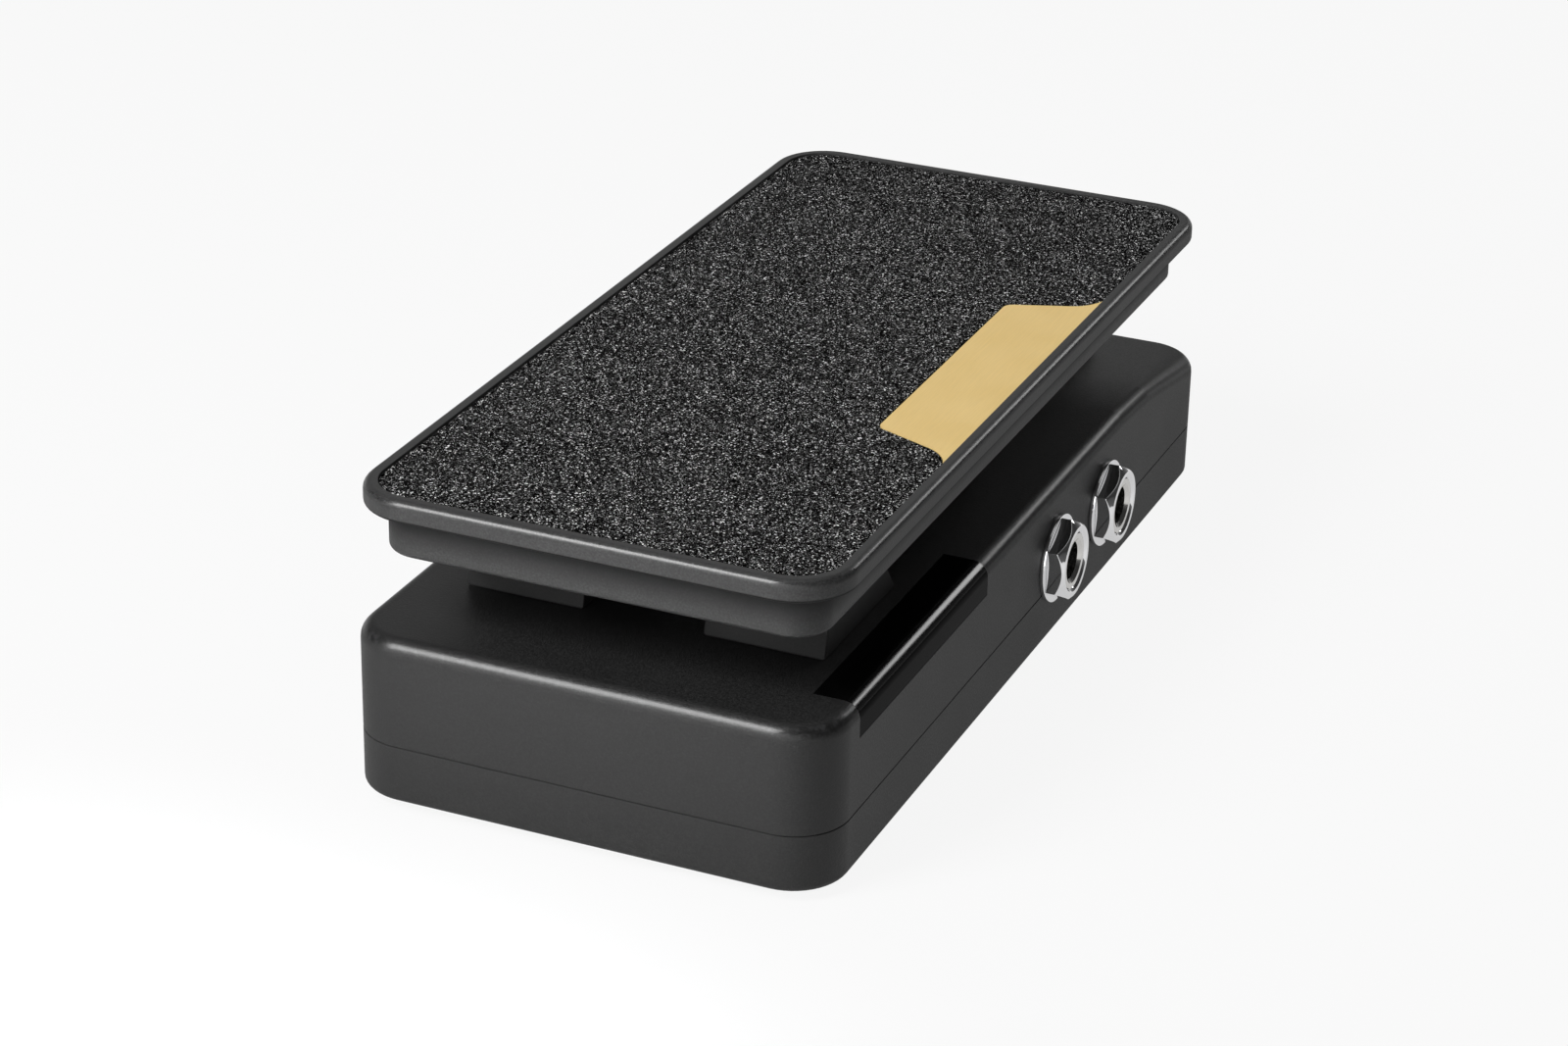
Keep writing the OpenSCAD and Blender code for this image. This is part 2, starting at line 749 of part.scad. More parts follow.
// Sockets
module jack(place) {
    body_z = jack_top_z - jack_body_h / 2;
    translate([0, place.y, 0]) mirror([place[0] < 0 ? 1 : 0, 0, 0]) difference() {
        union() {
            translate([0, 0, jack_top_z]) rod(barrel_d / 2, side_x - wall - cut, mouth_x);
            translate([side_x - wall - jack_len, -jack_body_w / 2, body_z])
                cube([jack_len, jack_body_w, jack_body_h]);
            for (i = [1:2], s = [-1, 1])
                translate([side_x - wall - jack_len * i / 3, s * jack_body_w / 4 - pin_w / 2, board_top])
                    cube([pin_t, pin_w, body_z + cut - board_top]);
        }
        translate([0, 0, jack_top_z]) {
            rod(plug_d / 2, mouth_x - plug_depth, mouth_x + cut);
            translate([mouth_x - mouth_bevel, 0, 0]) rotate([0, 90, 0])
                cylinder(r1 = plug_d / 2, r2 = plug_d / 2 + mouth_bevel + cut, h = mouth_bevel + cut);
        }
    }
}

module expression_jack() {
    color(steel) jack(exp_place);
}

module input_jack() {
    color(steel) jack(input_place);
}

module output_jack() {
    color(steel) jack(output_place);
}

module jack_washers() {
    color(chrome) for (p = jack_places)
        translate([0, p.y, jack_top_z]) mirror([p[0] < 0 ? 1 : 0, 0, 0]) difference() {
            rod(jack_washer_d / 2, side_x, side_x + jack_washer_t);
            rod(jack_hole_r, side_x - cut, side_x + jack_washer_t + cut);
        }
}

module jack_nut() {
    face_r = nut_face_share * jack_nut_w / 2;
    chamfer = jack_nut_corner - face_r;
    rotate([0, 90, 0]) difference() {
        intersection() {
            cylinder(r = jack_nut_corner, h = jack_nut_t, $fn = 6);
            rotate_extrude() polygon([
                [0, 0], [jack_nut_corner + cut, 0], [jack_nut_corner + cut, jack_nut_t - chamfer - cut],
                [face_r, jack_nut_t], [0, jack_nut_t]
            ]);
        }
        translate([0, 0, -cut]) cylinder(d = barrel_d + 2 * screw_play, h = jack_nut_t + 2 * cut);
        translate([0, 0, jack_nut_t - mouth_bevel])
            cylinder(d1 = barrel_d, d2 = barrel_d + 2 * (mouth_bevel + cut), h = mouth_bevel + cut);
    }
}

module jack_nuts() {
    color(chrome) for (p = jack_places) translate([0, p.y, jack_top_z]) mirror([p[0] < 0 ? 1 : 0, 0, 0])
        translate([side_x + jack_washer_t, 0, 0]) jack_nut();
}

module power_inlet() {
    front = base_l / 2 - wall;
    color(rubber) translate([-power_x, front, z0 + power_z]) difference() {
        union() {
            translate([-power_body_w / 2, -power_body_l, -power_body_h / 2])
                cube([power_body_w, power_body_l, power_body_h]);
            rotate([-90, 0, 0]) translate([0, 0, -cut]) cylinder(d = power_collar_d, h = wall + cut);
            for (s = [-1, 1])
                translate([s * power_body_w / 4 - pin_w / 2, -power_body_l / 2, board_top - z0 - power_z])
                    cube([pin_w, pin_t, power_z - power_body_h / 2 + cut + z0 - board_top]);
        }
        translate([0, wall - power_depth, 0]) rotate([-90, 0, 0]) difference() {
            cylinder(d = power_hole_d, h = power_depth + cut);
            translate([0, 0, -cut]) cylinder(d = power_pin_d, h = power_depth);
        }
    }
}

// Boards, cut out around the posts where they reach them
module board_notches(z, t) {
    for (p = post_places) translate([p.x, p.y, z - cut]) cylinder(d = post_d + 2 * post_play, h = t + 2 * cut);
}

module main_board() {
    color(circuit) difference() {
        translate([-board_w / 2, board_y0, board_z]) cube([board_w, board_l, board_t]);
        board_notches(board_z, board_t);
        pot_room();
        pot_bracket_room();
        for (p = board_screw_places) translate([p.x, p.y, board_z - cut])
            cylinder(d = small_d + 2 * screw_play, h = board_t + 2 * cut);
    }
}

module board_screws() {
    color(steel) for (p = board_screw_places) translate([p.x, p.y, board_top])
        pan_screw(small_d, board_t + standoff_h);
}

module board_components() {
    color("#202225") translate([0, 0, board_top]) {
        for (c = chips) translate([c[0] - c[2] / 2, board_y0 + c[1] - c[3] / 2, 0])
            cube([c[2], c[3], chip_h]);
        for (i = [0:can_count - 1]) translate([can_pitch * (i + 1), board_y1 - can_in, 0])
            cylinder(d = can_d, h = can_h);
    }
}

// Pivot on the base
module pivot_bracket() {
    color(steel) difference() {
        union() {
            translate([-bracket_w / 2, -bracket_l / 2, deck_z]) cube([bracket_w, bracket_l, bracket_t]);
            for (s = [-1, 1]) along_x(s < 0 ? -bracket_w / 2 : ear_x, s < 0 ? -ear_x : bracket_w / 2) {
                polygon([
                    [-ear_base_w / 2, deck_z], [ear_base_w / 2, deck_z], [ear_r, pivot_z], [-ear_r, pivot_z]
                ]);
                translate([0, pivot_z]) circle(ear_r);
            }
        }
        at_pivot() rod(bush_r + screw_play, -bracket_w, bracket_w);
        translate([-slot_w / 2, -slot_reach, deck_z - cut])
            cube([slot_w, slot_reach + slot_play, bracket_t + 2 * cut]);
        for (p = bracket_screw_places) translate([p.x, p.y, deck_z - cut])
            cylinder(d = screw_d + 2 * screw_play, h = bracket_t + 2 * cut);
    }
}

module bracket_screws() {
    color(steel) for (p = bracket_screw_places) translate([p.x, p.y, bracket_top])
        pan_screw(screw_d, bracket_t + top_t + boss_h);
}

module axle_bushings() {
    color(nylon) at_pivot() for (s = [0, 1]) mirror([s, 0, 0]) difference() {
        union() {
            rod(bush_flange_r, ear_x - bush_flange_t, ear_x);
            rod(bush_r, ear_x - bush_flange_t / 2, ear_x + bracket_t);
        }
        rod(axle_r + run_play, ear_x - bush_flange_t - cut, ear_x + bracket_t + cut);
    }
}

// Stops: their tops follow the treadle's ribs at the two ends of its travel
module heel_stops() {
    rib_h = skirt_z - pivot_z;
    function heel_top(y) = pivot_z + rib_h / cos(heel_angle) + y * tan(heel_angle) - stop_gap;
    y0 = -heel_stop_y - heel_stop_l / 2;
    y1 = -heel_stop_y + heel_stop_l / 2;
    y0_top = y0 + (heel_top(y0) - deck_z) * tan(heel_slant_out);
    y1_top = y1 - (heel_top(y1) - deck_z) * tan(heel_slant_in);
    color(rubber) for (s = [-1, 1])
        along_x(s * heel_stop_x - heel_stop_w / 2, s * heel_stop_x + heel_stop_w / 2)
            polygon([[y0, deck_z], [y1, deck_z], [y1_top, heel_top(y1_top)], [y0_top, heel_top(y0_top)]]);
}

module toe_stops() {
    rib_h = skirt_z - pivot_z;
    function toe_top(y) = pivot_z + rib_h / cos(toe_angle) - y * tan(toe_angle) - stop_gap;
    y0 = toe_stop_y - toe_stop_l / 2;
    y1 = toe_stop_y + toe_stop_l / 2;
    taper = 1;
    color(rubber) for (s = [-1, 1]) along_x(s * rib_x - toe_stop_w / 2, s * rib_x + toe_stop_w / 2)
        polygon([
            [y0, slope(y0) + slope_lift], [y1, slope(y1) + slope_lift],
            [y1 - taper, toe_top(y1 - taper)], [y0 + taper, toe_top(y0 + taper)]
        ]);
}

// Potentiometer
module pot_body() {
    color(steel) at_pot() difference() {
        union() {
            rod(pot_r, pot_body_x, pot_body_x + pot_depth);
            rod(pot_neck_d / 2, pot_neck_x, pot_body_x + cut);
            for (s = [-1:1]) translate([pot_body_x + cut, s * pot_r / 2 - pin_w / 2, board_top - pot_z])
                cube([pin_t, pin_w, pot_z - board_top - pot_r / 2]);
        }
        rod(pot_shaft_r + run_play, pot_neck_x - cut, pot_bore_x);
    }
}

module pot_nut() {
    color(steel) at_pot() difference() {
        translate([pot_x - pot_nut_t, 0, 0]) rotate([0, 90, 0])
            cylinder(r = pot_nut_w / 2 / cos(30), h = pot_nut_t, $fn = 6);
        rod(pot_neck_d / 2 + screw_play, pot_x - pot_nut_t - cut, pot_x + cut);
    }
}

module pot_bracket() {
    color(steel) difference() {
        union() {
            translate([pot_x, pot_y - pot_plate_h / 2, pot_z - pot_r])
                cube([pot_plate_t, pot_plate_h, deck_in - pot_z + pot_r]);
            for (y = [pot_y - pot_tab_y - pot_tab_w, pot_y + pot_tab_y])
                translate([pot_x, y, deck_in - pot_plate_t])
                    cube([pot_plate_t + pot_tab_l, pot_tab_w, pot_plate_t]);
        }
        at_pot() rod(pot_neck_d / 2 + screw_play, pot_x - cut, pot_body_x + cut);
        for (p = pot_screw_places) translate([p.x, p.y, deck_in - pot_plate_t - cut])
            cylinder(d = small_d + 2 * screw_play, h = pot_plate_t + 2 * cut);
    }
}

module pot_bracket_screws() {
    color(steel) for (p = pot_screw_places) translate([p.x, p.y, deck_in - pot_plate_t]) mirror([0, 0, 1])
        pan_screw(small_d, pot_plate_t + top_t / 2);
}

// Treadle
module tread_recess() {
    rounded_rect(tread_w - 2 * rim_w, tread_l - 2 * rim_w, tread_r - rim_w);
}

module skirt() {
    w = tread_w - 2 * skirt_in;
    l = tread_l - 2 * skirt_in;
    r = tread_r - skirt_in;
    sunk_r = 0.1;
    translate([0, 0, skirt_z]) difference() {
        rounded_slab(w, l, r, skirt_h + plate_t / 2, sunk_r, skirt_r);
        translate([0, 0, -cut]) linear_extrude(skirt_h + cut)
            rounded_rect(w - 2 * skirt_t, l - 2 * skirt_t, r - skirt_t);
    }
}

module lugs() {
    for (s = [0, 1]) mirror([s, 0, 0]) along_x(lug_x0, lug_x1) {
        polygon([
            [-lug_r, pivot_z], [lug_r, pivot_z],
            [lug_top_w / 2, under_z + plate_t / 4], [-lug_top_w / 2, under_z + plate_t / 4]
        ]);
        translate([0, pivot_z]) circle(lug_r);
    }
}

module treadle() {
    rib_l = tread_l - 2 * skirt_in - skirt_t;
    color(paint) difference() {
        union() {
            translate([0, tread_y, 0]) {
                translate([0, 0, under_z])
                    rounded_slab(tread_w, tread_l, tread_r, plate_t, rim_top_r, rim_low_r);
                skirt();
                for (s = [-1, 1]) translate([s * rib_x - rib_t / 2, -rib_l / 2, skirt_z])
                    cube([rib_t, rib_l, skirt_h + plate_t / 4]);
            }
            lugs();
            for (s = [-1, 1]) translate([0, s * gear_screw_y, flange_z])
                cylinder(d = gear_boss_d, h = gear_boss_h + plate_t / 4);
        }
        translate([0, tread_y, recess_z]) linear_extrude(recess_d + cut) tread_recess();
        at_pivot() rod(axle_r + screw_play, -ear_x, ear_x);
        for (s = [-1, 1]) translate([s * rib_x, 0, pivot_z]) rotate([90, 0, 0])
            cylinder(d = screw_d + 2 * screw_play, h = lug_top_w);
        for (s = [-1, 1]) translate([0, s * gear_screw_y, flange_z - cut])
            cylinder(d = small_d + 2 * screw_play, h = gear_boss_h + cut);
    }
}

// Outline of the badge plate, from the recess's right edge inwards, grown all round by a gap
function badge_points(gap) =
    let(
        x1 = tread_w / 2 - rim_w,
        x0 = x1 - badge_w - gap,
        half = badge_l / 2 + gap,
        t = tan(badge_flare),
        tip_x = x1 - badge_tip_r * (1 - sin(badge_flare)),
        tip_y = half + (tip_x - x0) * t + badge_tip_r * cos(badge_flare),
        low = arc([x0 + badge_r, half + badge_r * t - badge_r / cos(badge_flare)],
            badge_r, 180, 90 + badge_flare),
        high = arc([x1 - badge_tip_r, tip_y], badge_tip_r, badge_flare - 90, 0)
    )
    concat(low, high);

module badge_outline(gap) {
    upper = badge_points(gap);
    last = len(upper) - 1;
    polygon(concat(upper, [for (i = [0:last]) [upper[last - i].x, -upper[last - i].y]]));
}

module grip_sheet() {
    color("#1c1c1d") translate([0, tread_y, recess_z]) linear_extrude(grip_t) difference() {
        rounded_rect(tread_w - 2 * rim_w - 2 * lay_play, tread_l - 2 * rim_w - 2 * lay_play,
            tread_r - rim_w - lay_play);
        badge_outline(lay_play);
        translate([tread_w / 2 - rim_w - lay_play, -badge_l / 2]) square([rim_w, badge_l]);
    }
}

module badge_plate() {
    color("#d6b164") translate([0, tread_y, recess_z]) linear_extrude(badge_t) intersection() {
        badge_outline(0);
        translate([-lay_play, 0]) tread_recess();
    }
}

module pivot_axle() {
    color(steel) at_pivot() difference() {
        rod(axle_r, -axle_end, axle_end);
        for (s = [0, 1]) mirror([s, 0, 0]) difference() {
            rod(axle_r + cut, clip_x, clip_x + clip_t);
            rod(groove_r, clip_x - cut, clip_x + clip_t + cut);
        }
    }
}

module axle_clips() {
    color(steel) at_pivot() for (s = [0, 1]) mirror([s, 0, 0]) difference() {
        rod(clip_r, clip_x + run_play, clip_x + clip_t - run_play);
        rod(groove_r + run_play, clip_x - cut, clip_x + clip_t + cut);
        translate([clip_x - cut, -clip_mouth / 2, -clip_r - cut])
            cube([clip_t + 2 * cut, clip_mouth, clip_r + cut]);
    }
}

module axle_set_screws() {
    length = lug_r - axle_r - screw_tip;
    color(steel) for (s = [-1, 1]) translate([s * rib_x, -axle_r - screw_play, pivot_z]) rotate([90, 0, 0])
        difference() {
            cylinder(d = screw_d, h = length);
            translate([0, 0, length / 2]) cylinder(d = screw_d / 2, h = length, $fn = 6);
        }
}

// Gears
function involute(a) = tan(a) * 180 / PI - a;
function polar(r, a) = r * [cos(a), sin(a)];

// Half the angle that a tooth takes up at radius r
function tooth_half(teeth, r) =
    let(pitch_r = gear_m * teeth / 2, base_r = pitch_r * cos(pressure_angle))
    90 / teeth - tooth_thin * 90 / (PI * pitch_r)
        + involute(pressure_angle) - involute(acos(min(1, base_r / r)));

function tooth_points(teeth, a) =
    let(
        pitch_r = gear_m * teeth / 2,
        base_r = pitch_r * cos(pressure_angle),
        root_r = pitch_r - dedendum,
        start_r = max(base_r, root_r),
        step = (pitch_r + addendum - start_r) / flank_steps,
        radii = [for (i = [0:flank_steps]) start_r + i * step],
        root = base_r > root_r ? [root_r] : []
    )
    concat(
        [for (r = root) polar(r, a - tooth_half(teeth, start_r))],
        [for (r = radii) polar(r, a - tooth_half(teeth, r))],
        [for (i = [flank_steps:-1:0]) polar(radii[i], a + tooth_half(teeth, radii[i]))],
        [for (r = root) polar(r, a + tooth_half(teeth, start_r))]
    );

module sector_outline() {
    last = (sector_count - 1) / 2;
    teeth = [for (i = [-last:last]) each tooth_points(sector_teeth, mesh_dir + 360 * i / sector_teeth)];
    polygon(concat([[0, 0]], teeth));
    circle(lug_r);
    translate([-neck_w / 2, 0]) square([neck_w, flange_z - flange_t / 2 - pivot_z]);
}

module sector_gear() {
    color(nylon) difference() {
        union() {
            at_pivot() along_x(-sector_t / 2, sector_t / 2) sector_outline();
            translate([-flange_w / 2, -flange_l / 2, flange_z - flange_t])
                cube([flange_w, flange_l, flange_t]);
        }
        at_pivot() rod(axle_r + screw_play, -sector_t, sector_t);
        for (s = [-1, 1]) translate([0, s * gear_screw_y, flange_z - flange_t - cut])
            cylinder(d = small_d + 2 * screw_play, h = flange_t + 2 * cut);
    }
}

module gear_screws() {
    color(steel) for (s = [-1, 1]) translate([0, s * gear_screw_y, flange_z - flange_t]) mirror([0, 0, 1])
        pan_screw(small_d, flange_t + gear_boss_h - screw_tip);
}

module pot_shaft() {
    color(steel) at_pot() rod(pot_shaft_r, shaft_x0, pot_bore_x - side_play);
}

module pinion_gear() {
    teeth = [for (i = [0:pinion_teeth - 1])
        each tooth_points(pinion_teeth, mesh_dir + 180 + 360 * (i + 0.5) / pinion_teeth)];
    color(nylon) at_pot() difference() {
        union() {
            along_x(-pinion_t / 2, pinion_t / 2) polygon(teeth);
            rod(pinion_hub_r, shaft_x0, -pinion_t / 2 + cut);
        }
        rod(pot_shaft_r + screw_play, shaft_x0 - cut, pinion_t);
        translate([shaft_x0 + pinion_hub_l / 2, 0, 0]) rotate([180, 0, 0])
            cylinder(d = small_d + 2 * screw_play, h = pinion_hub_r + cut);
    }
}

module pinion_set_screw() {
    length = pinion_hub_r - pot_shaft_r - screw_tip;
    color(steel) at_pot() translate([shaft_x0 + pinion_hub_l / 2, 0, -pot_shaft_r - screw_play])
        rotate([180, 0, 0]) difference() {
            cylinder(d = small_d, h = length);
            translate([0, 0, length / 2]) cylinder(d = small_d / 2, h = length, $fn = 6);
        }
}

housing();
bottom_cover();
cover_screws();
rubber_feet();
indicator_window();
led_board();
indicator_leds();
led_screws();
board_header();
expression_jack();
input_jack();
output_jack();
jack_washers();
jack_nuts();
power_inlet();
main_board();
board_screws();
board_components();
pivot_bracket();
bracket_screws();
axle_bushings();
heel_stops();
toe_stops();
pot_body();
pot_nut();
pot_bracket();
pot_bracket_screws();
treadle();
grip_sheet();
badge_plate();
pivot_axle();
axle_clips();
axle_set_screws();
sector_gear();
gear_screws();
pot_shaft();
pinion_gear();
pinion_set_screw();
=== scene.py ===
"""Looks of a small volume pedal.

Smooth pieces over its solids, their finishes, and the floor, light and camera around it."""

import json
import math

import bmesh
import bpy
from mathutils import Matrix, Vector


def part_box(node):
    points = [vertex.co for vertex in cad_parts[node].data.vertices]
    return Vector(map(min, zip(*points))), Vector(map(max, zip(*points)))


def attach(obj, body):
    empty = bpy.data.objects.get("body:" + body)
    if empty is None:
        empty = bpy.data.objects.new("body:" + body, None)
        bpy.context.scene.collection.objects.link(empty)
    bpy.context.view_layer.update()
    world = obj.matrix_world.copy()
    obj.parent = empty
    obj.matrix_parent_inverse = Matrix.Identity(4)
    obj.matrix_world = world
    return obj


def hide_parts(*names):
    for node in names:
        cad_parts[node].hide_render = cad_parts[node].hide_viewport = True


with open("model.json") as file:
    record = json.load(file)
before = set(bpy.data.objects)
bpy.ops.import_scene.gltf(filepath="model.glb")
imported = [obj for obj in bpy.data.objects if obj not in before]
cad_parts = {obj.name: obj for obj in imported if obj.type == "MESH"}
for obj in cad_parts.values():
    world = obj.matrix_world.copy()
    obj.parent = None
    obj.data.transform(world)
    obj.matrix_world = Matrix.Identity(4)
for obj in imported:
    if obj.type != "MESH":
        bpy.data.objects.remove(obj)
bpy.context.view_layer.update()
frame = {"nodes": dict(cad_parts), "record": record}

MM = 0.001

# Camera: where it stands and how it looks, in metres, degrees and millimetres of film
CAMERA_PLACE = (0.2221, -0.5364, 0.2889)
CAMERA_AZIMUTH = 22.953
CAMERA_ELEVATION = 25.048
CAMERA_ROLL = 1.187
CAMERA_LENS = 87.97
CAMERA_SENSOR = 36.0

# Floor: half its side in metres, and the share of plain white in it as it is seen, straight and in metal
FLOOR_HALF = 4.0
FLOOR_EVENED = 0.9
FLOOR_EVENED_IN_METAL = 0.55

# Meshes: points nearer than this are one, faces that differ by less than this many degrees are one,
# edges that turn by more than this many degrees stay crisp, and a rounded edge has this many steps
WELD = 0.001 * MM
FLAT_DEGREES = 0.2
CRISP_DEGREES = 32
EDGE_STEPS = 2

# Treadle's recess: the width that its upper edge is rounded to, and how near to the top that edge lies
RECESS_EDGE = 0.12 * MM
RECESS_EDGE_REACH = 0.05 * MM

# The window's rounding faces right and up by at least this much
ROUNDING_RIGHT = 0.05
ROUNDING_UP = 0.5

# Height of the seam between the two shells, and half the width of its dark line
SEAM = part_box("bottom_cover")[1].z
SEAM_LINE = 0.16 * MM
# Treadle's rim: its thickness, the height of the corner under it, half the width of the painted shade
# there, and how far that shade runs down
RIM = 3.55 * MM
UNDER_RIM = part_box("treadle")[1].z - RIM
UNDER_RIM_SHADE_LINE = 0.7 * MM
UNDER_RIM_SHADE_DEPTH = 5 * MM

# Paint: greys of its grains, of worn edges, and of the seam's dark line and the painted shade under the rim
PAINT_DARK = 0.005
PAINT_MIDDLE = 0.010
PAINT_LIGHT = 0.017
WORN_GREY = (0.05, 0.05, 0.052, 1)
SEAM_AND_SHADE_GREY = (0.003, 0.003, 0.003, 1)
# Roughness of its flats, and what grains, the seam's dark line and the painted shade under the rim add to
# that
MATT_LOW = 0.53
MATT_HIGH = 0.57
GRAIN_ROUGHNESS = 0.06
SEAM_AND_SHADE_ROUGHNESS = 0.45
# Share of the grain that is left on rubbed edges, and share of the half width of the seam's dark line and
# of the painted shade under the rim that is solid
GRAIN_ON_EDGES = 0.25
SEAM_AND_SHADE_CORE = 0.6
# An edge is rounded where the squares of its level and upright shares multiply to this, and fully at this
EDGE_START = 0.08
EDGE_FULL = 0.25

# Depth over which a socket's barrel turns into its moulded body, inside the housing's wall
BARREL_BLEND = 0.2 * MM


# Node trees

def add_node(tree, kind, inputs=None, **settings):
    """A shader node with its settings and inputs; an input is a value or another node's output."""
    node = tree.nodes.new(kind)
    for key, value in settings.items():
        setattr(node, key, value)
    for key, value in (inputs or {}).items():
        if isinstance(value, bpy.types.NodeSocket):
            tree.links.new(value, node.inputs[key])
        else:
            node.inputs[key].default_value = value
    return node


def new_material(name):
    material = bpy.data.materials.new(name)
    material.use_nodes = True
    tree = material.node_tree
    return material, tree, tree.nodes["Principled BSDF"]


def place(tree, stretch=None):
    """Object coordinates in metres, stretched where a finish has a direction."""
    coordinates = add_node(tree, "ShaderNodeTexCoord").outputs["Object"]
    if stretch is None:
        return coordinates
    return add_node(tree, "ShaderNodeMapping", {"Vector": coordinates, "Scale": stretch}).outputs["Vector"]


def axes_of(tree, vector):
    """The X, Y and Z of a vector."""
    return add_node(tree, "ShaderNodeSeparateXYZ", {"Vector": vector}).outputs


def noise(tree, vector, grain, detail=2.0, roughness=0.5):
    """Noise whose grain is about this many metres across."""
    inputs = {"Vector": vector, "Scale": 1 / grain, "Detail": detail, "Roughness": roughness}
    return add_node(tree, "ShaderNodeTexNoise", inputs).outputs["Fac"]


def lots(tree, vector, grain):
    """One random value for each grain of about this many metres."""
    cells = add_node(tree, "ShaderNodeTexVoronoi", {"Vector": vector, "Scale": 1 / grain})
    return add_node(tree, "ShaderNodeSeparateColor", {"Color": cells.outputs["Color"]}).outputs["Red"]


def spread(tree, value, low, high, start=0.3, end=0.7):
    """The value from start to end, mapped to low and high."""
    inputs = {"Value": value, "From Min": start, "From Max": end, "To Min": low, "To Max": high}
    return add_node(tree, "ShaderNodeMapRange", inputs).outputs["Result"]


def ramp(tree, value, stops):
    """Colours along a value; a stop is its place and a grey or a colour."""
    node = add_node(tree, "ShaderNodeValToRGB", {"Fac": value})
    elements = node.color_ramp.elements
    while len(elements) < len(stops):
        elements.new(1)
    for element, (at, colour) in zip(elements, stops):
        rgb = (colour,) * 3 if isinstance(colour, (int, float)) else colour
        element.position = at
        element.color = (*rgb, 1)
    return node.outputs["Color"]


def calculate(tree, operation, first, second=0.0):
    return add_node(tree, "ShaderNodeMath", {0: first, 1: second}, operation=operation).outputs["Value"]


def mix(tree, share, first, second, blend="MIX"):
    """Two colours with this share of the second; sockets 0, 6 and 7 take the share and the colours."""
    inputs = {0: share, 6: first, 7: second}
    return add_node(tree, "ShaderNodeMix", inputs, data_type="RGBA", blend_type=blend).outputs[2]


def multiply(tree, first, second):
    return mix(tree, 1.0, first, second, "MULTIPLY")


def bump(tree, height, depth, normal=None):
    """Surface relief of this depth in metres."""
    inputs = {"Height": height, "Distance": depth, "Strength": 1.0}
    if normal is not None:
        inputs["Normal"] = normal
    return add_node(tree, "ShaderNodeBump", inputs).outputs["Normal"]


def upper_edges(tree):
    """One on rounded upper edges, where the surface turns from level to upright, and nought elsewhere."""
    normal = add_node(tree, "ShaderNodeTexCoord").outputs["Normal"]
    up = calculate(tree, "MAXIMUM", axes_of(tree, normal)["Z"], 0.0)
    level = calculate(tree, "MULTIPLY", up, up)
    both = calculate(tree, "MULTIPLY", level, calculate(tree, "SUBTRACT", 1.0, level))
    return spread(tree, both, 0, 1, EDGE_START, EDGE_FULL)


# A darker line at one height: the seam's dark line on the shells, and painted shade under the treadle's rim
def seam_and_shade_line(tree, at, line, width, below):
    """One on a line at this height, nought elsewhere; it thins out downwards over the depth below it."""
    above = calculate(tree, "SUBTRACT", axes_of(tree, at)["Z"], line)
    top_side = spread(tree, above, 1, 0, width * SEAM_AND_SHADE_CORE, width)
    low_side = spread(tree, above, 0, 1, -width - below, -width * SEAM_AND_SHADE_CORE)
    return calculate(tree, "MULTIPLY", top_side, low_side)


def sockets(tree, shader, links, **values):
    """Links and constant values on the shader's own sockets; an underscore in a name stands for a space."""
    for key, output in links.items():
        tree.links.new(output, shader.inputs[key])
    for key, value in values.items():
        shader.inputs[key.replace("_", " ")].default_value = value


# Finishes

def paint_material(name, rubbed, painted_light_gain=1.0, line=SEAM, line_width=SEAM_LINE, below=0.0):
    """Matt charcoal powder coat with a fine grain, faint mottling and a darker line at one height: on the
    shells the seam's dark line, on the treadle painted shade under its rim.

    Its rounded upper edges are worn a little and rubbed to a lower roughness. Its greys can be lightened as
    painted light, as the treadle's paint is."""
    material, tree, shader = new_material(name)
    at = place(tree)
    grain = noise(tree, at, 0.32 * MM)
    peel = noise(tree, at, 1.1 * MM)
    mottle = noise(tree, at, 24 * MM, detail=4, roughness=0.6)
    rounded = upper_edges(tree)
    # Darker line: the seam's dark line on the shells, painted shade under the rim on the treadle
    seam_and_shade = seam_and_shade_line(tree, at, line, line_width, below)

    # On the treadle these greys are lightened: painted light
    greys = [(0.25, PAINT_DARK * painted_light_gain), (0.5, PAINT_MIDDLE * painted_light_gain), (0.75, PAINT_LIGHT * painted_light_gain)]
    speck = ramp(tree, lots(tree, at, 0.3 * MM), [(0.0, 1.0), (0.975, 1.0), (0.99, 1.1), (1.0, 1.2)])
    cloud = ramp(tree, mottle, [(0.3, 0.92), (0.7, 1.07)])
    fresh = multiply(tree, multiply(tree, ramp(tree, grain, greys), speck), cloud)
    wear = calculate(tree, "MULTIPLY", rounded, spread(tree, peel, 0, 0.5, 0.5, 0.75))
    worn = mix(tree, wear, fresh, WORN_GREY)
    colour = mix(tree, seam_and_shade, worn, SEAM_AND_SHADE_GREY)

    kept = spread(tree, rounded, 1, GRAIN_ON_EDGES, 0, 1)
    uneven = calculate(tree, "MULTIPLY", kept, spread(tree, grain, -GRAIN_ROUGHNESS, GRAIN_ROUGHNESS))
    matt = spread(tree, mottle, MATT_LOW, MATT_HIGH)
    satin = calculate(tree, "ADD", uneven, spread(tree, rounded, matt, rubbed, 0, 1))
    rough = calculate(tree, "ADD", satin, calculate(tree, "MULTIPLY", seam_and_shade, SEAM_AND_SHADE_ROUGHNESS))

    fine = bump(tree, calculate(tree, "MULTIPLY", kept, grain), 0.04 * MM)
    relief = bump(tree, peel, 0.008 * MM, fine)
    links = {"Base Color": colour, "Roughness": rough, "Normal": relief}
    sockets(tree, shader, links, Specular_IOR_Level=0.39)
    return material


